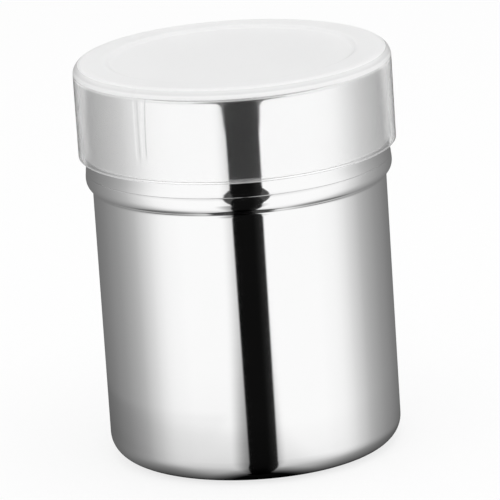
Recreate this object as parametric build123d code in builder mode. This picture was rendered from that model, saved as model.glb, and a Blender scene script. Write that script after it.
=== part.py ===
"""A stainless spice shaker: a drawn cup, a screw-on sieve lid and a slip-on plastic cap.

The frame has +Z up, with its origin on the axis, at the plane that the cup stands on.
Every size is in millimetres, and every angle in degrees.
"""

import math
import os

from build123d import *

# The cup, drawn from one disc of sheet
body_radius = 35.0
body_height = 65.4  # from the table to where the bead starts
cup_sheet = 0.5
foot_radius = 5.4
contact_ring_width = 3.6  # the flat ring that the cup stands on
panel_rise = 0.8  # how far the middle of the base is pressed up
panel_blend = 1.2
bead_reach = 1.5  # how far the bead stands out of the wall
bead_turn = 52.0  # how far each of the two arcs under the bead turns
bead_crown = 0.82
bead_top_radius = 1.0
neck_step = 1.1  # how far the neck is set in from the wall
neck_root_radius = 1.0
rim_curl_radius = 0.55

# The rolled screw thread, on the neck and in the lid
thread_pitch = 4.0
thread_turns = 1.5
thread_height = 1.0
thread_width = 1.7
thread_clearance = 0.35  # from a ridge's crest to the wall that faces it
thread_lead_in = 2.5  # from the rim down to the middle of the neck's highest ridge
thread_edge_gap = 0.6  # from the liner's lower edge up to its lowest ridge
ridge_root = 0.1  # how deep a ridge's outline starts inside its wall

# The lid: an outer shell, and a threaded liner pressed into it
lid_height = 24.92
lid_sheet = 0.5
liner_sheet = 0.4
liner_gap = 0.03  # between the liner and the shell round it
lip_gap = 0.08  # between the lid's lip and the top of the bead
lip_reach = 0.3  # how far the lip stands out of the lid's skirt
lip_curl_radius = 0.6
shoulder_radius = 3.0
top_land = 1.78  # the flat ring on top, between the shoulder and the hem
hem_radius = 0.8
hem_depth = 1.1  # from the lid's top down to the hem's edge
liner_corner_radius = 0.8
flange_setback = 0.3  # how far the liner's flange stays behind the hem

# The sieve: crossed wires, held in a folded ring between the hem and the flange
binding_height = 1.4
binding_sheet = 0.3
binding_side_gap = 1.3  # between the binding ring and the lid's skirt
wire_diameter = 0.35
wire_pitch = 1.27
wire_gap = 0.01  # between the two layers of wire
wire_grip = 2.0  # how far the wires run into the binding ring

# The plastic cap
cap_wall = 1.1
cap_clearance = 0.52  # between the cap and the lid's skirt
bare_skirt = 3.62  # how much of the lid shows below the cap
cap_edge_radius = 2.6
cap_rim_radius = 0.3
dish_depth = 0.7
dish_blend = 1.6
dish_clearance = 0.2  # between the dish's rim and the lid's hem
flute_width = 2.4
flute_height = 0.2
flute_start = 4.5  # from the cap's lower edge up to a flute's lower end
flute_fade = 1.4  # the length over which a flute's lower end runs out
flute_angles = (52.5, 232.5)

# Radii, from the neck outwards
bead_radius = body_radius + bead_reach
neck_radius = body_radius - neck_step
liner_inner_radius = neck_radius + thread_height + thread_clearance
liner_radius = liner_inner_radius + liner_sheet
lid_inner_radius = liner_radius + liner_gap
lid_radius = lid_inner_radius + lid_sheet
lip_radius = lid_radius + lip_reach
cap_inner_radius = lid_radius + cap_clearance
cap_radius = cap_inner_radius + cap_wall

# Radii on the lid's top
hem_top_radius = lid_radius - shoulder_radius - top_land
sieve_opening_radius = hem_top_radius - hem_radius
flange_opening_radius = sieve_opening_radius + flange_setback
binding_radius = lid_inner_radius - binding_side_gap
wire_reach = sieve_opening_radius + wire_grip

# Heights, from the table upwards
bead_arc_radius = bead_reach / (2 * (1 - math.cos(math.radians(bead_turn))))
bead_rise = 2 * bead_arc_radius * math.sin(math.radians(bead_turn))
crown_z = body_height + bead_rise + bead_crown
seat_z = crown_z + bead_top_radius
lid_bottom = seat_z + lip_gap
liner_bottom = lid_bottom + 2 * lip_curl_radius
liner_thread_z = liner_bottom + thread_edge_gap + thread_width / 2
neck_thread_z = liner_thread_z + thread_pitch / 2
thread_rise = thread_turns * thread_pitch
rim_z = neck_thread_z + thread_rise + thread_lead_in

# Heights on the lid and the cap
lid_top = lid_bottom + lid_height
hem_bottom = lid_top - hem_depth
binding_bottom = hem_bottom - binding_height
sieve_z = hem_bottom - binding_height / 2
cap_top = lid_top + cap_wall
cap_bottom = lid_bottom + bare_skirt
flute_bottom = cap_bottom + flute_start


def step_turn(step, blend):
    """How far each of two equal arcs of radius blend turns, where together they step sideways by step."""
    return math.degrees(math.acos(1 - step / (2 * blend)))


def step_run(step, blend):
    """How far such a pair of arcs runs forwards."""
    return 2 * blend * math.sin(math.radians(step_turn(step, blend)))


def ridge(wall_radius, reach, width, start_z):
    """A helical rib of rounded section that stands out of a wall by reach, inwards if it is negative."""
    root = math.copysign(ridge_root, reach)
    with BuildPart(mode=Mode.PRIVATE) as rib:
        with BuildLine() as track:
            Helix(
                pitch=thread_pitch,
                height=thread_rise,
                radius=wall_radius,
                center=(0, 0, start_z),
            )
        with BuildSketch(Plane.XZ):
            with BuildLine():
                crest = ThreePointArc(
                    (wall_radius - root, start_z - width / 2),
                    (wall_radius + reach, start_z),
                    (wall_radius - root, start_z + width / 2),
                )
                Line(crest @ 1, crest @ 0)
            make_face()
        sweep(path=track.line, is_frenet=True)
    return rib.part


# Cup: base, foot, wall, bead and neck follow one line of sheet, and the rim is curled inwards.
panel_turn = step_turn(panel_rise, panel_blend)
contact_radius = body_radius - foot_radius - contact_ring_width
panel_radius = contact_radius - step_run(panel_rise, panel_blend)
neck_ridge = ridge(neck_radius, thread_height, thread_width, neck_thread_z)
neck_groove = ridge(neck_radius - cup_sheet, thread_height, thread_width - cup_sheet, neck_thread_z)

with BuildPart() as cup:
    with BuildSketch(Plane.XZ):
        with BuildLine():
            panel = Line((0, panel_rise), (panel_radius, panel_rise))
            panel_out = JernArc(panel @ 1, panel % 1, panel_blend, -panel_turn)
            panel_in = JernArc(panel_out @ 1, panel_out % 1, panel_blend, panel_turn)
            contact_ring = Line(panel_in @ 1, (body_radius - foot_radius, 0))
            foot = JernArc(contact_ring @ 1, contact_ring % 1, foot_radius, 90)
            wall = Line(foot @ 1, (body_radius, body_height))
            flare = JernArc(wall @ 1, wall % 1, bead_arc_radius, -bead_turn)
            roll = JernArc(flare @ 1, flare % 1, bead_arc_radius, bead_turn)
            crown = Line(roll @ 1, (bead_radius, crown_z))
            bead_top = JernArc(crown @ 1, crown % 1, bead_top_radius, 90)
            seat = Line(bead_top @ 1, (neck_radius + neck_root_radius, seat_z))
            neck_root = JernArc(seat @ 1, seat % 1, neck_root_radius, -90)
            Line(neck_root @ 1, (neck_radius, rim_z - rim_curl_radius))
            offset(amount=cup_sheet, side=Side.LEFT)
        make_face()
        with Locations((neck_radius - rim_curl_radius, rim_z - rim_curl_radius)):
            Circle(rim_curl_radius)
    revolve(axis=Axis.Z)
    add(neck_ridge)
    add(neck_groove, mode=Mode.SUBTRACT)
cup.part.label = "cup"


# Lid shell: a curled lip, the skirt, the shoulder, the top and the hem that holds the sieve down.
with BuildPart() as lid_shell:
    with BuildSketch(Plane.XZ):
        with BuildLine():
            skirt = Line(
                (lid_radius, lid_bottom + lip_curl_radius),
                (lid_radius, lid_top - shoulder_radius),
            )
            shoulder = JernArc(skirt @ 1, skirt % 1, shoulder_radius, 90)
            top = Line(shoulder @ 1, (hem_top_radius, lid_top))
            hem = JernArc(top @ 1, top % 1, hem_radius, 90)
            Line(hem @ 1, (sieve_opening_radius, hem_bottom))
            offset(amount=lid_sheet, side=Side.LEFT)
        make_face()
        with Locations((lip_radius - lip_curl_radius, lid_bottom + lip_curl_radius)):
            Circle(lip_curl_radius)
    revolve(axis=Axis.Z)
lid_shell.part.label = "lid_shell"


# Thread liner: a tube inside the skirt with the lid's half of the thread, and a flange below the sieve.
liner_ridge = ridge(liner_inner_radius, -thread_height, thread_width, liner_thread_z)
liner_groove = ridge(liner_radius, -thread_height, thread_width - liner_sheet, liner_thread_z)

with BuildPart() as thread_liner:
    with BuildSketch(Plane.XZ):
        with BuildLine():
            tube = Line(
                (liner_radius, liner_bottom),
                (liner_radius, binding_bottom - liner_corner_radius),
            )
            corner = JernArc(tube @ 1, tube % 1, liner_corner_radius, 90)
            Line(corner @ 1, (flange_opening_radius, binding_bottom))
            offset(amount=liner_sheet, side=Side.LEFT)
        make_face()
    revolve(axis=Axis.Z)
    add(liner_ridge)
    add(liner_groove, mode=Mode.SUBTRACT)
thread_liner.part.label = "thread_liner"


# Binding ring: a strip folded over the ends of the wires, open towards the axis.
binding_depth = binding_radius - sieve_opening_radius

with BuildPart() as binding_ring:
    with BuildSketch(Plane.XZ):
        with Locations((sieve_opening_radius, sieve_z)):
            Rectangle(binding_depth, binding_height, align=(Align.MIN, Align.CENTER))
            Rectangle(
                binding_depth - binding_sheet,
                binding_height - 2 * binding_sheet,
                align=(Align.MIN, Align.CENTER),
                mode=Mode.SUBTRACT,
            )
    revolve(axis=Axis.Z)
binding_ring.part.label = "binding_ring"


# Sieve: straight wires in two layers, one across the other, cut off to a round.
wires_each_side = int((wire_reach - wire_diameter) / wire_pitch)
layer_rise = (wire_diameter + wire_gap) / 2
wire_layers = []

for name, turn, layer_z in (
    ("sieve_warp_wires", 0, sieve_z + layer_rise),
    ("sieve_weft_wires", 90, sieve_z - layer_rise),
):
    with BuildPart() as layer:
        for step in range(-wires_each_side, wires_each_side + 1):
            across = step * wire_pitch
            length = 2 * math.sqrt(wire_reach**2 - across**2)
            with Locations(Location((0, 0, layer_z), (0, 0, turn))):
                with Locations((0, across)):
                    Cylinder(wire_diameter / 2, length, rotation=(0, 90, 0))
    layer.part.label = name
    wire_layers.append(layer)


# Cap: a shallow cup turned over the lid, with a sunk top, and a flute up its side for each vent.
dish_turn = step_turn(dish_depth, dish_blend)
dish_rim_radius = sieve_opening_radius - dish_clearance
edge_start_radius = cap_radius - cap_edge_radius
flute_bar_radius = flute_width**2 / (8 * flute_height) + flute_height / 2
flute_bar_centre = cap_radius + flute_height - flute_bar_radius


def flute(angle, inset):
    """An upright round bar that stands out of the cap's side, trimmed to an outline of its own."""
    crest_radius = cap_radius + flute_height - inset
    with BuildPart(mode=Mode.PRIVATE) as bar:
        with BuildSketch(Plane.XZ):
            with BuildLine():
                run_out = Spline(
                    (cap_radius - inset - ridge_root, flute_bottom),
                    (crest_radius, flute_bottom + flute_fade),
                    tangents=[(1, 1), (0, 1)],
                )
                crest = Line(run_out @ 1, (crest_radius, cap_top - cap_edge_radius))
                edge = JernArc(crest @ 1, crest % 1, cap_edge_radius - inset, 90)
                Polyline(
                    edge @ 1,
                    (edge_start_radius, cap_top - inset),
                    (edge_start_radius, flute_bottom),
                    run_out @ 0,
                )
            make_face()
        revolve(axis=Axis.Z)
        with BuildSketch(Plane.XY.offset(flute_bottom)):
            with PolarLocations(flute_bar_centre, 1, start_angle=angle):
                Circle(flute_bar_radius - inset)
        extrude(amount=cap_top - flute_bottom, mode=Mode.INTERSECT)
    return bar.part


def cap_form(inset):
    """All that lies inside the cap's outer surface, or inside its inner one, which is inset from it."""
    bars = [flute(angle, inset) for angle in flute_angles]
    with BuildPart(mode=Mode.PRIVATE) as form:
        with BuildSketch(Plane.XZ):
            with BuildLine():
                side = Line(
                    (cap_radius - inset, cap_bottom),
                    (cap_radius - inset, cap_top - cap_edge_radius),
                )
                edge = JernArc(side @ 1, side % 1, cap_edge_radius - inset, 90)
                ring = Line(edge @ 1, (dish_rim_radius, cap_top - inset))
                drop = JernArc(ring @ 1, ring % 1, dish_blend - inset, dish_turn)
                level = JernArc(drop @ 1, drop % 1, dish_blend + inset, -dish_turn)
                Polyline(level @ 1, (0, cap_top - dish_depth - inset), (0, cap_bottom), side @ 0)
            make_face()
        revolve(axis=Axis.Z)
        add(bars)
    return form.part


cap_outside = cap_form(0)
cap_inside = cap_form(cap_wall)

with BuildPart() as cap:
    add(cap_outside)
    add(cap_inside, mode=Mode.SUBTRACT)
    fillet(cap.edges().group_by(Axis.Z)[0], cap_rim_radius)
cap.part.label = "cap"


os.makedirs("parts", exist_ok=True)
for piece in (cup, lid_shell, thread_liner, binding_ring, *wire_layers, cap):
    export_step(piece.part, f"parts/{piece.part.label}.step")
    print(piece.part.label, len(piece.part.solids()), piece.part.volume, piece.part.bounding_box())
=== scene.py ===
import math

import bmesh
import bpy
from mathutils import Matrix, Vector


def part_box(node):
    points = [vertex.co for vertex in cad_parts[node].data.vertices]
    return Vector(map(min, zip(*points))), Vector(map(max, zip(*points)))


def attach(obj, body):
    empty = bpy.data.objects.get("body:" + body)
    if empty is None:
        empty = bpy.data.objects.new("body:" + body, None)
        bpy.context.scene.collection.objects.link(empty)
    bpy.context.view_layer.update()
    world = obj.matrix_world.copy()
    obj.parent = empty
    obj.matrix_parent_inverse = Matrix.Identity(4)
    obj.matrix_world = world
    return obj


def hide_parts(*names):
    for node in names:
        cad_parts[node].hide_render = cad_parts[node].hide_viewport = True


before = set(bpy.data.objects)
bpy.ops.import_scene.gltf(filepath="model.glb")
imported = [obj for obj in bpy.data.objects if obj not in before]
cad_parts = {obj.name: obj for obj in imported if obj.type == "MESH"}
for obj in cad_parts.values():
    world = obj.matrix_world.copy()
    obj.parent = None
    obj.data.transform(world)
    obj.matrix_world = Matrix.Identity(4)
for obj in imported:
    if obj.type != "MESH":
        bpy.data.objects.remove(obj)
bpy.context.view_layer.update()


# The cup.
# One disc of stainless sheet, drawn into a can with a pressed-up base, a rolled bead near the
# top and a neck with a screw thread rolled into it. It is polished outside and satin inside.
mm = 0.001
cup_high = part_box("cup")[1]
body_radius = 35.0 * mm
body_height = 65.4 * mm  # from the table to where the bead starts
cup_sheet = 0.5 * mm
foot_radius = 5.4 * mm
contact_ring_width = 3.6 * mm  # the flat ring that the cup stands on
panel_rise = 0.8 * mm  # how far the middle of the base is pressed up
panel_blend = 1.2 * mm
bead_radius = cup_high.x
bead_reach = bead_radius - body_radius
bead_turn = math.radians(52)  # how far the wall leans out under the bead
bead_fillet_radius = 1.0 * mm
seat_gap = 0.02 * mm  # between the bead's top and the lid's lip
bead_edge_radius = 0.16 * mm
seam_lean = math.radians(11)  # how far the bead and the lip lean where they meet
neck_radius = 33.9 * mm
neck_root_radius = 1.0 * mm
rim_z = cup_high.z
rim_curl_radius = 0.55 * mm
thread_pitch = 4.0 * mm
thread_turns = 1.5
thread_height = 1.0 * mm
thread_half_width = 1.2 * mm
thread_lead_in = 2.5 * mm  # from the rim down to the ridge's upper end
thread_run_out = 0.08  # the share of a turn over which each end fades

round_steps = 216
quarter_steps = 14
curl_steps = 14
guard_run = 0.4 * mm  # the short row at each end of a straight run
merge_distance = 0.001 * mm
inner_finish = 1  # the place of the inner face's finish in a piece's list

bead_arc_radius = bead_reach / (1 - math.cos(bead_turn)) - bead_fillet_radius
crown_z = body_height + (bead_arc_radius + bead_fillet_radius) * math.sin(bead_turn)
seat_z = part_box("lid_shell")[0].z - seat_gap
bead_lean_rise = seat_z - bead_edge_radius * (1 - math.sin(seam_lean)) - crown_z
neck_thread_z = rim_z - thread_lead_in - thread_turns * thread_pitch


class SheetLine:
    """A line of sheet in section, drawn from the axis outwards with runs and bends."""

    def __init__(self, radius, height):
        self.bm = bmesh.new()
        self.end = self.bm.verts.new((radius, 0, height))
        self.heading = 0.0

    def run_to(self, radius, height, rows=1):
        """A straight run. A short row at each end keeps a bend's shading off the long face between."""
        start = self.end.co.copy()
        goal = Vector((radius, 0, height))
        length = (goal - start).length
        guard = min(guard_run, length / 4)
        stops = [step / rows for step in range(1, rows)]
        stops = sorted({guard / length, *stops, 1 - guard / length, 1.0})
        for stop in stops:
            made = bmesh.ops.extrude_vert_indiv(self.bm, verts=[self.end])
            self.end = made["verts"][0]
            self.end.co = start.lerp(goal, stop)
        self.heading = math.atan2(goal.z - start.z, goal.x - start.x)

    def bend(self, radius, turn, steps=None):
        """An arc that leaves along the last heading and turns left, or right where turn is negative."""
        side = math.copysign(1, turn)
        left = Vector((-math.sin(self.heading), 0, math.cos(self.heading)))
        centre = self.end.co + left * radius * side
        steps = steps or max(3, round(quarter_steps * abs(turn) / (math.pi / 2)))
        made = bmesh.ops.spin(
            self.bm, geom=[self.end], cent=centre, axis=(0, -1, 0), angle=turn, steps=steps
        )
        self.end = [item for item in made["geom_last"] if isinstance(item, bmesh.types.BMVert)][0]
        self.heading += turn

    def turned(self, steps=round_steps):
        """The sheet, spun round the axis, with its faces outwards."""
        bmesh.ops.spin(
            self.bm,
            geom=self.bm.verts[:] + self.bm.edges[:],
            cent=(0, 0, 0),
            axis=(0, 0, 1),
            angle=2 * math.pi,
            steps=steps,
            use_merge=True,
        )
        bmesh.ops.remove_doubles(self.bm, verts=self.bm.verts[:], dist=merge_distance)
        bmesh.ops.recalc_face_normals(self.bm, faces=self.bm.faces[:])
        return self.bm


def add_rolled_edge(bm, radius, height, curl_radius):
    """The edge of a sheet curled into a ring of round section."""
    lying = Matrix.Translation((radius, 0, height)) @ Matrix.Rotation(math.pi / 2, 4, "X")
    ring = bmesh.ops.create_circle(bm, segments=curl_steps, radius=curl_radius, matrix=lying)["verts"]
    edges = list({edge for vert in ring for edge in vert.link_edges})
    before = set(bm.faces)
    bmesh.ops.spin(
        bm,
        geom=ring + edges,
        cent=(0, 0, 0),
        axis=(0, 0, 1),
        angle=2 * math.pi,
        steps=round_steps,
        use_merge=True,
    )
    bmesh.ops.recalc_face_normals(bm, faces=[face for face in bm.faces if face not in before])


def give_thickness(bm, sheet):
    """Adds the sheet's inner face, which takes the second finish."""
    outside = set(bm.faces)
    bmesh.ops.solidify(bm, geom=bm.faces[:], thickness=sheet)
    for face in bm.faces:
        if face not in outside:
            face.material_index = inner_finish


def roll_thread(bm, low, high, start_z, height):
    """Pushes the sheet between two heights out into a helical ridge, or in where height is negative."""
    for vert in bm.verts:
        if not low < vert.co.z < high:
            continue
        angle = math.atan2(vert.co.y, vert.co.x) % (2 * math.pi)
        for lap in range(math.ceil(thread_turns)):
            turns = lap + angle / (2 * math.pi)
            off = abs(vert.co.z - start_z - turns * thread_pitch) / thread_half_width
            left = min(turns, thread_turns - turns) / thread_run_out
            if off >= 1 or left <= 0:
                continue
            swell = math.cos(off * math.pi / 2) ** 2 * math.sin(min(left, 1) * math.pi / 2)
            radius = math.hypot(vert.co.x, vert.co.y)
            grown = (radius + height * swell) / radius
            vert.co.x *= grown
            vert.co.y *= grown


def finished_piece(name, bm, body, replaced, finishes, sharp_angle=math.radians(40)):
    """Makes a mesh a smooth object with its finishes, on its body and in place of its CAD nodes."""
    mesh = bpy.data.meshes.new(name)
    for face in bm.faces:
        face.smooth = True
    bm.to_mesh(mesh)
    bm.free()
    mesh.set_sharp_from_angle(angle=sharp_angle)
    for finish in finishes:
        mesh.materials.append(finish)
    piece = bpy.data.objects.new(name, mesh)
    bpy.context.scene.collection.objects.link(piece)
    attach(piece, body)
    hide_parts(*replaced)
    return piece


panel_turn = math.acos(1 - panel_rise / (2 * panel_blend))
panel_run = 2 * panel_blend * math.sin(panel_turn)
contact_radius = body_radius - foot_radius - contact_ring_width

cup_line = SheetLine(0, panel_rise)
cup_line.run_to(contact_radius - panel_run, panel_rise, rows=4)
cup_line.bend(panel_blend, -panel_turn)
cup_line.bend(panel_blend, panel_turn)
cup_line.run_to(body_radius - foot_radius, 0)
cup_line.bend(foot_radius, math.pi / 2)
cup_line.run_to(body_radius, body_height, rows=6)
cup_line.bend(bead_fillet_radius, -bead_turn)
cup_line.bend(bead_arc_radius, bead_turn)
cup_line.bend(bead_lean_rise / math.sin(seam_lean), seam_lean)
cup_line.bend(bead_edge_radius, math.pi / 2 - seam_lean)
cup_line.run_to(neck_radius + neck_root_radius, seat_z)
cup_line.bend(neck_root_radius, -math.pi / 2)
cup_line.run_to(neck_radius, rim_z - rim_curl_radius, rows=40)
cup_mesh = cup_line.turned()
give_thickness(cup_mesh, cup_sheet)
neck_end = rim_z - 2 * rim_curl_radius
roll_thread(cup_mesh, seat_z + neck_root_radius, neck_end, neck_thread_z, thread_height)
add_rolled_edge(cup_mesh, neck_radius - rim_curl_radius, rim_z - rim_curl_radius, rim_curl_radius)


def new_finish(name):
    """An empty material, with its node tree and its shader."""
    finish = bpy.data.materials.new(name)
    finish.use_nodes = True
    tree = finish.node_tree
    return finish, tree, tree.nodes["Principled BSDF"]


def add_node(tree, kind, inputs=None, **settings):
    """A node with its settings. An input is a plain value, or another node's output to link from."""
    node = tree.nodes.new(kind)
    for key, value in settings.items():
        setattr(node, key, value)
    for key, value in (inputs or {}).items():
        if isinstance(value, bpy.types.NodeSocket):
            tree.links.new(value, node.inputs[key])
        else:
            node.inputs[key].default_value = value
    return node


def calculated(tree, operation, first, second):
    """The result of one sum with two values."""
    return add_node(tree, "ShaderNodeMath", {0: first, 1: second}, operation=operation).outputs[0]


def multiplied(tree, first, second):
    """Two colours or vectors multiplied, or one by a plain value."""
    return add_node(
        tree, "ShaderNodeVectorMath", {0: first, 1: second}, operation="MULTIPLY"
    ).outputs[0]


def rescaled(tree, value, low, high, new_low=0.0, new_high=1.0, kind="LINEAR"):
    """Moves a value from between low and high to between new_low and new_high."""
    return add_node(
        tree,
        "ShaderNodeMapRange",
        {"Value": value, "From Min": low, "From Max": high, "To Min": new_low, "To Max": new_high},
        interpolation_type=kind,
    ).outputs[0]


def group_with(name, inputs, outputs):
    """A shader node group with its sockets. Returns the group and its two end nodes."""
    group = bpy.data.node_groups.new(name, "ShaderNodeTree")
    for label, value in inputs.items():
        socket = group.interface.new_socket(label, in_out="INPUT", socket_type="NodeSocketFloat")
        socket.default_value = value
    for label in outputs:
        group.interface.new_socket(label, in_out="OUTPUT", socket_type="NodeSocketFloat")
    return group, group.nodes.new("NodeGroupInput"), group.nodes.new("NodeGroupOutput")


# Polishing wheels leave hair-fine lines round the axis, and handling leaves a faint bloom.
polish_marks, marks_in, marks_out = group_with(
    "polish_marks", {"Line Density": 2500.0, "Bloom Density": 30.0}, ("Lines", "Bloom")
)
place = add_node(polish_marks, "ShaderNodeTexCoord").outputs["Object"]
line_space = add_node(
    polish_marks, "ShaderNodeCombineXYZ", {"X": 40.0, "Y": 40.0, "Z": marks_in.outputs["Line Density"]}
)
stretched = multiplied(polish_marks, place, line_space.outputs[0])
lines = add_node(polish_marks, "ShaderNodeTexNoise", {"Vector": stretched, "Scale": 1.0, "Detail": 4.0})
bloom = add_node(
    polish_marks,
    "ShaderNodeTexNoise",
    {"Vector": place, "Scale": marks_in.outputs["Bloom Density"], "Detail": 3.0, "Roughness": 0.6},
)
polish_marks.links.new(lines.outputs["Fac"], marks_out.inputs["Lines"])
polish_marks.links.new(bloom.outputs["Fac"], marks_out.inputs["Bloom"])
polish_depth = 0.02 * mm


def steel_finish(name, colour, smooth, dull, relief, line_density):
    """Stainless steel between two roughnesses, with its polishing lines in gloss and relief."""
    finish, tree, shader = new_finish(name)
    marks = add_node(tree, "ShaderNodeGroup", node_tree=polish_marks)
    marks.inputs["Line Density"].default_value = line_density
    worn = calculated(tree, "MULTIPLY", marks.outputs["Lines"], marks.outputs["Bloom"])
    gloss = rescaled(tree, worn, 0.1, 0.45, smooth, dull)
    tint = rescaled(tree, marks.outputs["Bloom"], 0.3, 0.7, 0.985, 1.0)
    bump = add_node(
        tree,
        "ShaderNodeBump",
        {"Height": marks.outputs["Lines"], "Strength": relief, "Distance": polish_depth},
    )
    tree.links.new(multiplied(tree, colour, tint), shader.inputs["Base Color"])
    tree.links.new(gloss, shader.inputs["Roughness"])
    tree.links.new(bump.outputs[0], shader.inputs["Normal"])
    shader.inputs["Metallic"].default_value = 1.0
    return finish


polished_steel = steel_finish(
    "polished_steel", (0.965, 0.965, 0.965), smooth=0.04, dull=0.075, relief=0.03, line_density=2500.0
)
satin_steel = steel_finish(
    "satin_steel", (0.66, 0.655, 0.65), smooth=0.24, dull=0.4, relief=0.25, line_density=1400.0
)
finished_piece("shaker_cup", cup_mesh, "cup", ["cup"], [polished_steel, satin_steel])


# The lid's shell.
# A second drawn disc: flared lip, plain skirt, rounded shoulder, and a flat top whose middle is
# pierced and turned down into a hem that presses on the sieve. Polished like the cup.
lid_low, lid_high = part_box("lid_shell")
lid_radius = 36.18 * mm
lid_bottom = lid_low.z
lid_top = lid_high.z
lid_sheet = 0.5 * mm
lip_edge_radius = 0.05 * mm
flare_rise = 1.9 * mm  # how far up the lip's flare reaches
shoulder_radius = 3.0 * mm
skirt_taper = math.radians(3.6)
taper_rise = 12.0 * mm  # the stretch below the shoulder that leans in
taper_steps = 16
top_land = 1.78 * mm
hem_radius = 0.8 * mm
hem_depth = 1.1 * mm
hem_gap = 0.02 * mm  # between the hem and the binding ring
hem_bottom = lid_top - hem_depth + hem_gap
hem_top_radius = lid_radius - shoulder_radius - top_land
sieve_opening_radius = hem_top_radius - hem_radius

flare_radius = flare_rise / math.sin(seam_lean)
lip_reach = flare_radius * (1 - math.cos(seam_lean))
lip_start = lid_radius + lip_reach - lip_edge_radius * math.cos(seam_lean)
taper_start = lid_top - shoulder_radius * (1 - math.sin(skirt_taper)) - taper_rise
lid_line = SheetLine(lip_start, lid_bottom)
lid_line.bend(lip_edge_radius, math.pi / 2 + seam_lean)
lid_line.bend(flare_radius, -seam_lean)
lid_line.run_to(lid_radius, taper_start, rows=4)
lid_line.bend(taper_rise / math.sin(skirt_taper), skirt_taper, steps=taper_steps)
lid_line.bend(shoulder_radius, math.pi / 2 - skirt_taper)
lid_line.run_to(hem_top_radius, lid_top)
lid_line.bend(hem_radius, math.pi / 2)
lid_line.run_to(sieve_opening_radius, hem_bottom)
lid_mesh = lid_line.turned()
give_thickness(lid_mesh, lid_sheet)
finished_piece(
    "lid_outer_shell", lid_mesh, "lid", ["lid_shell"], [polished_steel, satin_steel]
)


# The lid's thread liner.
# A thinner tube pressed into the skirt. It carries the rolled thread that grips the neck, and its
# top is turned in to a flange that holds the sieve up against the hem.
liner_low, liner_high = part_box("thread_liner")
liner_radius = liner_high.x
liner_sheet = 0.4 * mm
liner_corner_radius = 0.8 * mm
flange_setback = 0.3 * mm  # how far the flange stays behind the hem
liner_bottom = liner_low.z
liner_top = liner_high.z
liner_thread_z = neck_thread_z - thread_pitch / 2

liner_line = SheetLine(liner_radius, liner_bottom)
liner_line.run_to(liner_radius, liner_top - liner_corner_radius, rows=64)
liner_line.bend(liner_corner_radius, math.pi / 2)
liner_line.run_to(sieve_opening_radius + flange_setback, liner_top)
liner_mesh = liner_line.turned()
give_thickness(liner_mesh, liner_sheet)
roll_thread(liner_mesh, liner_bottom, liner_top - liner_corner_radius, liner_thread_z, -thread_height)
finished_piece(
    "lid_thread_liner", liner_mesh, "lid", ["thread_liner"], [satin_steel, satin_steel]
)


# The binding ring.
# A strip of thin steel folded over the cut ends of the wires, and squeezed flat.
ring_low, ring_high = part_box("binding_ring")
binding_radius = ring_high.x
binding_sheet = 0.3 * mm
fold_radius = 0.35 * mm

ring_line = SheetLine(sieve_opening_radius, ring_low.z)
ring_line.run_to(binding_radius - fold_radius, ring_low.z)
ring_line.bend(fold_radius, math.pi / 2)
ring_line.run_to(binding_radius, ring_high.z - fold_radius)
ring_line.bend(fold_radius, math.pi / 2)
ring_line.run_to(sieve_opening_radius, ring_high.z)
ring_mesh = ring_line.turned()
give_thickness(ring_mesh, binding_sheet)
finished_piece(
    "sieve_binding_ring", ring_mesh, "screen", ["binding_ring"], [satin_steel, satin_steel]
)


# The sieve's woven wires.
# Drawn stainless wire in a plain weave: each wire goes over one and under the next, so its
# crimp is a wave as long as two meshes. Its ends are gripped in the binding ring.
warp_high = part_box("sieve_warp_wires")[1]
wire_radius = 0.35 * mm / 2
wire_pitch = 1.27 * mm
wire_reach = warp_high.x
sieve_z = (ring_low.z + ring_high.z) / 2
crimp = 0.18 * mm  # how far a wire swings to each side of the middle
wires_each_side = int((wire_reach - 2 * wire_radius) / wire_pitch)
steps_per_mesh = 4
wire_sides = 6

wire_steel = steel_finish(
    "wire_steel", (0.62, 0.615, 0.61), smooth=0.22, dull=0.38, relief=0.1, line_density=900.0
)

for layer, wires, turn, first_over in (
    ("sieve_warp", "sieve_warp_wires", 0.0, 1),
    ("sieve_weft", "sieve_weft_wires", math.pi / 2, -1),
):
    weave = bmesh.new()
    for step in range(-wires_each_side, wires_each_side + 1):
        across = step * wire_pitch
        half_length = math.sqrt(wire_reach**2 - across**2)
        rings = round(2 * half_length / wire_pitch * steps_per_mesh)
        start = Matrix.Translation((-half_length, across, sieve_z))
        upright = start @ Matrix.Rotation(math.pi / 2, 4, "Y")
        wire = bmesh.new()
        bmesh.ops.create_circle(
            wire, cap_ends=True, segments=wire_sides, radius=wire_radius, matrix=upright
        )
        bmesh.ops.spin(
            wire, geom=wire.faces[:], axis=(0, 0, 1), dvec=(2 * half_length / rings, 0, 0), steps=rings
        )
        for vert in wire.verts:
            wave = math.cos(math.pi * vert.co.x / wire_pitch)
            vert.co.z += first_over * (-1) ** step * crimp * wave
        drawn = bpy.data.meshes.new("drawn_wire")
        wire.to_mesh(drawn)
        wire.free()
        weave.from_mesh(drawn)
        bpy.data.meshes.remove(drawn)
    bmesh.ops.rotate(weave, verts=weave.verts[:], cent=(0, 0, 0), matrix=Matrix.Rotation(turn, 3, "Z"))
    bmesh.ops.recalc_face_normals(weave, faces=weave.faces[:])
    finished_piece(layer, weave, "screen", [wires], [wire_steel])


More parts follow.
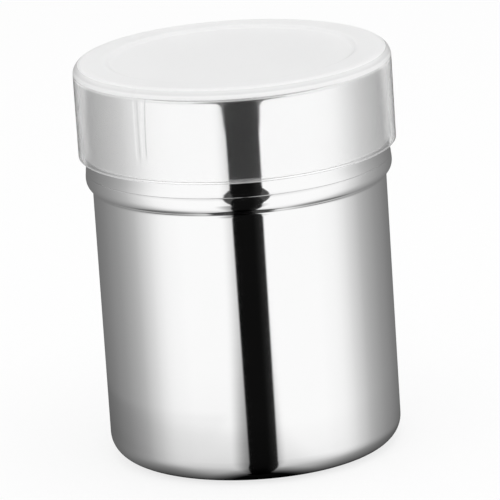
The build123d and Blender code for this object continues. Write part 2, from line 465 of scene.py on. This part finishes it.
# The cap.
# A push-on cover moulded in milky clear plastic: a matt top with a shallow dish, a rounded edge,
# and a glossy skirt with two slim raised flutes. The edge and the rim are thick enough to look milky.
cap_low, cap_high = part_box("cap")
cap_radius = 37.8 * mm
cap_bottom = cap_low.z
cap_top = cap_high.z
cap_wall = 1.1 * mm
cap_edge_radius = 2.6 * mm
cap_rim_radius = 0.08 * mm
rim_steps = 4
rim_band = 0.45 * mm  # the stretch above the rim that looks milky
dish_depth = 0.7 * mm
dish_blend = 1.6 * mm
dish_rim_radius = 30.4 * mm
matt_slope = math.cos(math.radians(30))  # the matt top ends where its edge leans this far
edge_band = 2.35 * mm  # how far down the milky edge reaches
thick_band = 0.3 * mm  # how far the thick corner reaches below the edge
flute_width = 1.6 * mm
flute_height = 0.11 * mm
flute_flank = 0.53 * mm
flute_start = 4.5 * mm  # from the cap's lower edge up to a flute's lower end
flute_fade = 1.4 * mm  # the length over which a flute's lower end runs out
flute_angles = [math.radians(52.5), math.radians(232.5)]
flute_steps = 48
between_steps = 100
underside = -0.9  # a face whose normal has less height than this faces down
clear_zone, matt_zone, edge_zone, thick_zone = range(4)

dish_turn = math.acos(1 - dish_depth / (2 * dish_blend))
dish_run = 2 * dish_blend * math.sin(dish_turn)
edge_start_radius = cap_radius - cap_edge_radius
cap_line = SheetLine(0, cap_top - dish_depth)
cap_line.run_to(dish_rim_radius - dish_run, cap_top - dish_depth, rows=3)
cap_line.bend(dish_blend, dish_turn)
cap_line.bend(dish_blend, -dish_turn)
cap_line.run_to(edge_start_radius, cap_top)
cap_line.bend(cap_edge_radius, -math.pi / 2)
cap_line.run_to(cap_radius, cap_top - cap_edge_radius - thick_band)
cap_line.run_to(cap_radius, cap_bottom + rim_band, rows=24)
cap_line.run_to(cap_radius, cap_bottom)

# The section is turned in four parts, with its steps close together where a flute stands.
cap_mesh = cap_line.bm
flute_part = 3 * flute_width / cap_radius
bmesh.ops.rotate(
    cap_mesh,
    verts=cap_mesh.verts[:],
    cent=(0, 0, 0),
    matrix=Matrix.Rotation(flute_angles[0] - flute_part / 2, 3, "Z"),
)
swept = cap_mesh.verts[:] + cap_mesh.edges[:]
for part, steps in ((flute_part, flute_steps), (math.pi - flute_part, between_steps)) * 2:
    swept = bmesh.ops.spin(
        cap_mesh, geom=swept, cent=(0, 0, 0), axis=(0, 0, 1), angle=part, steps=steps
    )["geom_last"]
bmesh.ops.remove_doubles(cap_mesh, verts=cap_mesh.verts[:], dist=merge_distance)
bmesh.ops.recalc_face_normals(cap_mesh, faces=cap_mesh.faces[:])
outer_verts = cap_mesh.verts[:]
give_thickness(cap_mesh, cap_wall)
rim_edges = [
    edge
    for edge in cap_mesh.edges
    if all(abs(vert.co.z - cap_bottom) < merge_distance for vert in edge.verts)
    and len({face.normal.z < underside for face in edge.link_faces}) == 2
]


def smooth_step(value, low, high):
    """Rises smoothly from 0 at low to 1 at high."""
    part = min(max((value - low) / (high - low), 0), 1)
    return part * part * (3 - 2 * part)


flute_bottom = cap_bottom + flute_start
for vert in outer_verts:
    radius = math.hypot(vert.co.x, vert.co.y)
    if radius < edge_start_radius or vert.co.z < flute_bottom:
        continue
    turned = math.atan2(vert.co.y, vert.co.x)
    off = min(abs(math.remainder(turned - angle, 2 * math.pi)) for angle in flute_angles) * radius
    swell = smooth_step(flute_width / 2 - off, 0, flute_flank)
    swell *= smooth_step(vert.co.z, flute_bottom, flute_bottom + flute_fade)
    swell *= smooth_step(radius, edge_start_radius, edge_start_radius + cap_wall)
    grown = (radius + flute_height * swell) / radius
    vert.co.x *= grown
    vert.co.y *= grown

bmesh.ops.bevel(
    cap_mesh,
    geom=rim_edges,
    offset=cap_rim_radius,
    segments=rim_steps,
    profile=0.5,
    affect="EDGES",
    material=-1,
)

for face in cap_mesh.faces:
    centre = face.calc_center_median()
    is_inner = face.material_index == inner_finish
    is_level = math.hypot(centre.x, centre.y) < edge_start_radius or abs(face.normal.z) > matt_slope
    is_thick = centre.z > cap_top - cap_edge_radius - thick_band or centre.z < cap_bottom + rim_band
    if is_level and centre.z > cap_top - 2 * cap_wall:
        face.material_index = matt_zone
    elif is_inner:
        face.material_index = clear_zone
    elif centre.z > cap_top - edge_band:
        face.material_index = edge_zone
    else:
        face.material_index = thick_zone if is_thick else clear_zone


def grey(brightness):
    """A colour without hue, from its linear brightness."""
    return brightness, brightness, brightness, 1


def grey_ramp(tree, value, stops):
    """A ramp of greys, from stops of place and linear brightness."""
    ramp = add_node(tree, "ShaderNodeValToRGB", {"Fac": value})
    elements = ramp.color_ramp.elements
    while len(elements) < len(stops):
        elements.new(0.5)
    for element, (place, brightness) in zip(elements, stops):
        element.position = place
        element.color = grey(brightness)
    return ramp.outputs["Color"]


flow_density = 45.0
mould_depth = 0.03 * mm
tone_depth = 4 * mm
plastic_ior = 1.49
even_tone = [(0, 1), (1, 1)]
# Painted shading on the cap's rounded edge: lighter and darker bands by height, where light falls across
# the rounding.
painted_edge_shading = [
    (0.04, 1.0),
    (0.11, 0.84),
    (0.3, 0.82),
    (0.38, 0.97),
    (0.55, 0.97),
    (0.65, 0.85),
    (0.8, 0.95),
]


def plastic_finish(name, milkiness, smooth, dull, relief, grain, tone=even_tone, glow=0.0):
    """
    Milky clear plastic. Milkiness is the share of light that it scatters and doesn't let through,
    and tone is its brightness from the cap's top down to tone_depth: painted shading, unless it is even.
    """
    finish, tree, shader = new_finish(name)
    place = add_node(tree, "ShaderNodeTexCoord").outputs["Object"]
    flow = add_node(
        tree, "ShaderNodeTexNoise", {"Vector": place, "Scale": flow_density, "Detail": 3.0}
    ).outputs["Fac"]
    texture = add_node(tree, "ShaderNodeTexNoise", {"Vector": place, "Scale": grain, "Detail": 3.0})
    height = add_node(tree, "ShaderNodeSeparateXYZ", {0: place}).outputs["Z"]
    depth = rescaled(tree, height, cap_top, cap_top - tone_depth)
    tint = rescaled(tree, flow, 0.3, 0.7, 0.993, 1.0)
    shade = multiplied(tree, grey_ramp(tree, depth, tone), tint)
    bump = add_node(
        tree,
        "ShaderNodeBump",
        {"Height": texture.outputs["Fac"], "Strength": relief, "Distance": mould_depth},
    )
    tree.links.new(shade, shader.inputs["Base Color"])
    tree.links.new(shade, shader.inputs["Emission Color"])
    tree.links.new(rescaled(tree, flow, 0.3, 0.7, smooth, dull), shader.inputs["Roughness"])
    tree.links.new(bump.outputs[0], shader.inputs["Normal"])
    shader.inputs["Metallic"].default_value = 0.0
    shader.inputs["Emission Strength"].default_value = glow
    shader.inputs["IOR"].default_value = plastic_ior
    shader.inputs["Transmission Weight"].default_value = 1 - milkiness
    return finish


clear_plastic = plastic_finish(
    "clear_plastic", milkiness=0.022, smooth=0.04, dull=0.08, relief=0.1, grain=300.0
)
matt_plastic = plastic_finish(
    "matt_plastic", milkiness=0.75, smooth=0.42, dull=0.5, relief=0.5, grain=4000.0
)
edge_plastic = plastic_finish(
    "edge_plastic",
    milkiness=0.88,
    smooth=0.16,
    dull=0.24,
    relief=0.1,
    grain=300.0,
    tone=painted_edge_shading,
)

# The thick stretches below the edge and at the rim gather light, which a faint glow stands in for.
thick_plastic = plastic_finish(
    "thick_plastic", milkiness=0.15, smooth=0.05, dull=0.1, relief=0.1, grain=300.0, glow=0.12
)
finished_piece(
    "plastic_cap",
    cap_mesh,
    "cap",
    ["cap"],
    [clear_plastic, matt_plastic, edge_plastic, thick_plastic],
)


# The floor.
# A pale sweep of paper. The camera sees it white with the soft shadow on it, and diffuse light
# bounces off it. Steel and plastic see the studio through it, dimmed by painted shadow and shade
# that are set by where on the floor they look.
floor_half_size = 6.0
floor_mesh = bmesh.new()
bmesh.ops.create_grid(floor_mesh, x_segments=8, y_segments=8, size=floor_half_size)
floor_data = bpy.data.meshes.new("studio_floor")
floor_mesh.to_mesh(floor_data)
floor_mesh.free()
floor = bpy.data.objects.new("studio_floor", floor_data)
bpy.context.scene.collection.objects.link(floor)

floor_finish, floor_tree, floor_shader = new_finish("studio_floor")
floor_shader.inputs["Base Color"].default_value = grey(0.93)
floor_shader.inputs["Roughness"].default_value = 0.8
light_path = add_node(floor_tree, "ShaderNodeLightPath").outputs
floor_place = add_node(floor_tree, "ShaderNodeTexCoord").outputs["Object"]
beside = add_node(floor_tree, "ShaderNodeSeparateXYZ", {0: floor_place}).outputs


def distance_share(centre, reach):
    """How far a place on the floor is from a centre, as a share of a reach."""
    away = add_node(floor_tree, "ShaderNodeVectorMath", {0: floor_place, 1: centre}, operation="DISTANCE")
    return rescaled(floor_tree, away.outputs["Value"], 0.0, reach)


def floor_math(operation, first, second):
    """One sum on the floor's values."""
    return calculated(floor_tree, operation, first, second)


def blend(share, low, high):
    """One value turning into another as a share goes from 0 to 1."""
    return add_node(floor_tree, "ShaderNodeMix", {"Factor": share, 2: low, 3: high}).outputs[0]


def fade(value, low, high):
    """Rises smoothly from 0 to 1 between two values."""
    return rescaled(floor_tree, value, low, high, kind="SMOOTHSTEP")


# What the lower wall and the foot mirror: paper under a painted shadow of the cup, almost black
# where the cup stands on it and paler further out, darkest under the foot's front. The shares are
# of 200 mm from the axis.
shade_reach = 200 * mm
away = distance_share((0, 0, 0), shade_reach)
foot_shadow = grey_ramp(
    floor_tree,
    away,
    [
        (0.152, 0.02),
        (0.158, 0.08),
        (0.161, 0.34),
        (0.1655, 0.44),
        (0.1705, 0.49),
        (0.1765, 0.52),
        (0.185, 0.57),
        (0.194, 0.7),
        (0.208, 0.83),
        (0.2285, 0.89),
        (0.26, 0.94),
        (0.31, 0.97),
        (0.4, 1.0),
    ],
)
front_centre = (1.0 * mm, -25.4 * mm, 0)
front_reach = 20 * mm
front_foot_shadow = grey_ramp(
    floor_tree,
    distance_share(front_centre, front_reach),
    [
        (0.46, 0.01),
        (0.475, 0.06),
        (0.5, 0.16),
        (0.53, 0.28),
        (0.56, 0.45),
        (0.63, 0.72),
        (0.7, 0.95),
        (0.75, 1.0),
    ],
)
# Far to the left the painted shadow stops, and the paper is mirrored at a light 0.95.
far_left_shade_level = 0.95
past_left_edge = fade(beside["X"], -37 * mm, -21 * mm)
near_painted_shadow = blend(past_left_edge, far_left_shade_level, floor_math("MULTIPLY", foot_shadow, front_foot_shadow))

# A soft painted shade that lies towards the left, and runs out further from the foot.
left_depth = 0.25
right_depth = 0.04
shade_by_side = blend(fade(beside["X"], 8 * mm, 32 * mm), left_depth, right_depth)
shade_by_distance = grey_ramp(
    floor_tree,
    away,
    [
        (0.25, 1.0),
        (0.29, 0.8),
        (0.33, 0.7),
        (0.37, 0.55),
        (0.42, 0.22),
        (0.5, 0.12),
        (0.65, 0.03),
        (0.8, 0.0),
    ],
)
left_shade = floor_math("MULTIPLY", shade_by_side, shade_by_distance)

# What the bead's underside mirrors: paper under painted shade, dimmer at the sides and behind than in
# front.
front_way = (0.035, -0.999, 0)
around = add_node(floor_tree, "ShaderNodeVectorMath", {0: floor_place}, operation="NORMALIZE").outputs[0]
frontness = add_node(
    floor_tree, "ShaderNodeVectorMath", {0: around, 1: front_way}, operation="DOT_PRODUCT"
).outputs["Value"]
from_above = grey_ramp(
    floor_tree,
    frontness,
    [(0.0, 0.5), (0.31, 0.55), (0.53, 0.65), (0.656, 0.8), (0.755, 0.95), (0.84, 1.0)],
)
beside_middle = add_node(floor_tree, "ShaderNodeMath", {0: beside["X"]}, operation="ABSOLUTE").outputs[0]
behind_front = fade(beside["Y"], -30 * mm, -20 * mm)
wedge_start = 0.18
# The light left under the painted shade of the front wedge, its middle strip, and the groove's wider
# wedge.
wedge_shade = 0.12
strip_shade = 0.03
groove_shade = 0.1


def past_wedge(near_width, far_width, wedge_end, soft):
    """
    0 on a wedge of floor in front of the foot, and 1 off it. It is near_width wide to each side at
    wedge_start and far_width at wedge_end, and soft is half the width of its soft edge.
    """
    half_width = rescaled(floor_tree, away, wedge_start, wedge_end, near_width, far_width)
    past_side = fade(floor_math("SUBTRACT", beside_middle, half_width), -soft, soft)
    return floor_math("MAXIMUM", past_side, behind_front)


# The front holds a painted wedge of shade, with a darker painted strip along its middle.
off_wedge = past_wedge(near_width=29 * mm, far_width=6 * mm, wedge_end=0.33, soft=1.5 * mm)
off_strip = past_wedge(near_width=7.5 * mm, far_width=7.5 * mm, wedge_end=0.3, soft=1.0 * mm)
front_painted_shade = floor_math("MINIMUM", blend(off_wedge, wedge_shade, 1.0), blend(off_strip, strip_shade, 1.0))
from_above = floor_math("MULTIPLY", from_above, front_painted_shade)
from_above = blend(fade(away, 0.31, 0.375), from_above, 1.0)

# Steel in the groove under the bead mirrors the wall, and the wall mirrors a wider wedge of painted
# shade.
mirrored_twice = fade(light_path["Glossy Depth"], 1.4, 1.6)
off_wide_wedge = past_wedge(near_width=20 * mm, far_width=33 * mm, wedge_end=0.4, soft=4.0 * mm)
in_groove = floor_math("MINIMUM", from_above, blend(off_wide_wedge, groove_shade, 1.0))
from_above = blend(mirrored_twice, from_above, in_groove)

# The bead is known by how far above the floor it mirrors, or by mirroring more than once.
high_up = floor_math("MAXIMUM", fade(light_path["Ray Length"], 56 * mm, 65 * mm), mirrored_twice)
# What steel and plastic see through the floor: the studio, darkened by the painted shadow and shade.
seen_past = floor_math(
    "MULTIPLY",
    blend(high_up, near_painted_shadow, from_above),
    floor_math("SUBTRACT", 1.0, left_shade),
)
past = add_node(floor_tree, "ShaderNodeBsdfTransparent", {"Color": seen_past})
glow = add_node(floor_tree, "ShaderNodeEmission", {"Color": grey(1), "Strength": 1.0})
lit_share = 0.25
white_floor = add_node(
    floor_tree, "ShaderNodeMixShader", {0: lit_share, 1: glow.outputs[0], 2: floor_shader.outputs[0]}
)
to_camera = add_node(
    floor_tree,
    "ShaderNodeMixShader",
    {0: light_path["Is Camera Ray"], 1: floor_shader.outputs[0], 2: white_floor.outputs[0]},
)
by_gloss = floor_math("MAXIMUM", light_path["Is Glossy Ray"], light_path["Is Transmission Ray"])
floor_mix = add_node(
    floor_tree, "ShaderNodeMixShader", {0: by_gloss, 1: to_camera.outputs[0], 2: past.outputs[0]}
)
floor_out = floor_tree.nodes["Material Output"]
floor_tree.links.new(floor_mix.outputs[0], floor_out.inputs["Surface"])
floor_data.materials.append(floor_finish)


# The studio.
# White paper all round, seen white by the camera, even for diffuse light. In steel and plastic it
# falls off to grey behind the shaker, and a narrow black card stands in front, beside the camera.
studio = bpy.data.worlds.new("studio")
bpy.context.scene.world = studio
studio.use_nodes = True
studio_tree = studio.node_tree
backing = studio_tree.nodes["Background"]
studio_path = add_node(studio_tree, "ShaderNodeLightPath").outputs

direction = add_node(studio_tree, "ShaderNodeTexCoord").outputs["Generated"]
flat_direction = multiplied(studio_tree, direction, (1, 1, 0))
heading = add_node(
    studio_tree, "ShaderNodeVectorMath", {0: flat_direction}, operation="NORMALIZE"
).outputs[0]
upward = add_node(studio_tree, "ShaderNodeSeparateXYZ", {0: direction}).outputs["Z"]


def facing(way, azimuth):
    """How squarely a direction faces an azimuth, which counts from the front towards the right."""
    towards = (math.sin(azimuth), -math.cos(azimuth), 0)
    return add_node(
        studio_tree, "ShaderNodeVectorMath", {0: way, 1: towards}, operation="DOT_PRODUCT"
    ).outputs["Value"]


def share_between(value, low, high, kind="SMOOTHSTEP"):
    """Where a value lies between two others, from 0 to 1."""
    return rescaled(studio_tree, value, low, high, kind=kind)


def mixed(share, behind, front):
    """One colour turning into another as a share goes from 0 to 1."""
    return add_node(
        studio_tree, "ShaderNodeMix", {"Factor": share, 6: behind, 7: front}, data_type="RGBA"
    ).outputs[2]


lowest = -1.0
highest = 0.5


def height_ramp(stops):
    """A ramp by how steeply a direction rises, from stops of degrees and value."""
    return grey_ramp(
        studio_tree,
        share_between(upward, lowest, highest, "LINEAR"),
        [
            ((math.sin(math.radians(height)) - lowest) / (highest - lowest), value)
            for height, value in stops
        ],
    )


# The paper's brightness by direction, from behind the shaker to its front. It shifts a little with
# height, and steel and plastic see darker bands where the paper bends up to the ceiling.
paper_azimuth = math.radians(4.9)
paper_reach = math.cos(math.radians(14.7))
paper_lean = height_ramp([(-15, 0.0), (-8, -0.015), (0, 0.01), (7, 0.0)])
across_paper = share_between(facing(flat_direction, paper_azimuth), -paper_reach, paper_reach, "LINEAR")
paper = grey_ramp(
    studio_tree,
    calculated(studio_tree, "ADD", across_paper, paper_lean),
    [
        (0.0, 0.17),
        (0.095, 0.215),
        (0.15, 0.25),
        (0.233, 0.298),
        (0.283, 0.34),
        (0.362, 0.411),
        (0.4215, 0.485),
        (0.48, 0.6),
        (0.544, 0.715),
        (0.589, 0.815),
        (0.652, 0.92),
        (0.7, 0.96),
        (0.765, 0.985),
        (0.8, 1.0),
    ],
)
plastic_lift = 0.28
plastic_gain = 1.06
lift = calculated(studio_tree, "MULTIPLY", studio_path["Is Transmission Ray"], plastic_lift)
height_bands = height_ramp([(0, 1.0), (7, 0.86), (12, 0.78), (17, 0.78), (21, 1.0)])
banded_paper = multiplied(studio_tree, mixed(lift, paper, grey(1)), height_bands)
whole_paper = mixed(share_between(upward, 0.3, 0.4), banded_paper, grey(1))


def with_card(behind, azimuth, outline, softness, front):
    """Puts a dark card in front. Its outline is its half width in degrees at each height in degrees."""
    edge = height_ramp([(height, math.cos(math.radians(half_width))) for height, half_width in outline])
    past_edge = calculated(studio_tree, "SUBTRACT", facing(heading, azimuth), edge)
    return mixed(share_between(past_edge, -softness, softness), behind, front)


# The card, its soft shade low down, and the grey panels at its sides higher up.
card_azimuth = math.radians(4.2)
shade_azimuth = math.radians(0.7)
shade_outline = [(-90, 14.5), (-17.2, 14.5), (-16.6, 11.5), (-15.8, 6), (-14.8, 0), (0, 0)]
panel_outline = [(-14, 0), (-10, 13), (0, 16.5), (7, 17.5), (12, 24), (15, 36), (18, 36), (21, 2)]
card_outline = [
    (-90, 45),
    (-75, 18),
    (-60, 14.5),
    (-30, 12.2),
    (-17.6, 11.15),
    (-13.7, 12.3),
    (-7.6, 12),
    (0, 11),
    (7, 9),
    (12, 18),
    (15, 30),
    (18, 30),
    (21, 2),
]
card_right_side = share_between(facing(heading, card_azimuth + math.pi / 2), 0.06, 0.2)
card_sheen = mixed(card_right_side, grey(0.0045), grey(0.02))
shaded = with_card(whole_paper, shade_azimuth, shade_outline, softness=0.045, front=grey(0.15))
with_panels = with_card(shaded, card_azimuth, panel_outline, softness=0.003, front=grey(0.07))
with_black = with_card(with_panels, card_azimuth, card_outline, softness=0.002, front=card_sheen)

# Light that has come through the cap's plastic is a little brighter, and sees white behind.
through_gain = rescaled(studio_tree, studio_path["Is Transmission Ray"], 0.0, 1.0, 1.0, plastic_gain)
behind_share = calculated(
    studio_tree,
    "MULTIPLY",
    share_between(facing(heading, math.pi), 0.76, 0.94),
    studio_path["Is Transmission Ray"],
)
reflected = mixed(behind_share, multiplied(studio_tree, with_black, through_gain), grey(1))
in_gloss = calculated(
    studio_tree, "MAXIMUM", studio_path["Is Glossy Ray"], studio_path["Is Transmission Ray"]
)
seen = mixed(studio_path["Is Camera Ray"], mixed(in_gloss, grey(0.88), reflected), grey(1))
studio_tree.links.new(seen, backing.inputs["Color"])

# One soft lamp overhead throws the shadow. Steel and plastic don't mirror it.
lamp_size = 0.8
lamp_target = Vector((0, 0, 50 * mm))
lamp_data = bpy.data.lights.new("overhead_softbox", "AREA")
lamp_data.shape = "RECTANGLE"
lamp_data.size = lamp_size
lamp_data.size_y = lamp_size
lamp_data.energy = 3.0
lamp = bpy.data.objects.new("overhead_softbox", lamp_data)
lamp.location = (0.1, -0.2, 1.1)
lamp.rotation_euler = (lamp_target - lamp.location).to_track_quat("-Z", "Y").to_euler()
lamp.visible_glossy = False
lamp.visible_transmission = False
lamp.visible_camera = False
bpy.context.scene.collection.objects.link(lamp)


# The camera.
# It stands in front and looks a little down, rolled so that the shaker leans to the left.
distance = 1.2427
elevation = math.radians(14.721)
roll = math.radians(-3.797)
stand_height = 55 * mm
aim_point = Vector((1.369 * mm, 0, 47.884 * mm))
camera_data = bpy.data.cameras.new("camera")
camera_data.sensor_width = 36.0
camera_data.lens = 374.8
camera_data.clip_end = 50.0
camera = bpy.data.objects.new("camera", camera_data)
bpy.context.scene.collection.objects.link(camera)
camera_place = Vector(
    (0, -distance * math.cos(elevation), stand_height + distance * math.sin(elevation))
)
aim = (aim_point - camera_place).normalized()
level_right = aim.cross(Vector((0, 0, 1))).normalized()
level_up = level_right.cross(aim)
right = math.cos(roll) * level_right + math.sin(roll) * level_up
up = math.cos(roll) * level_up - math.sin(roll) * level_right
turn = Matrix((right, up, -aim)).transposed()
camera.matrix_world = Matrix.Translation(camera_place) @ turn.to_4x4()
bpy.context.scene.camera = camera
bpy.context.scene.view_settings.view_transform = "Standard"
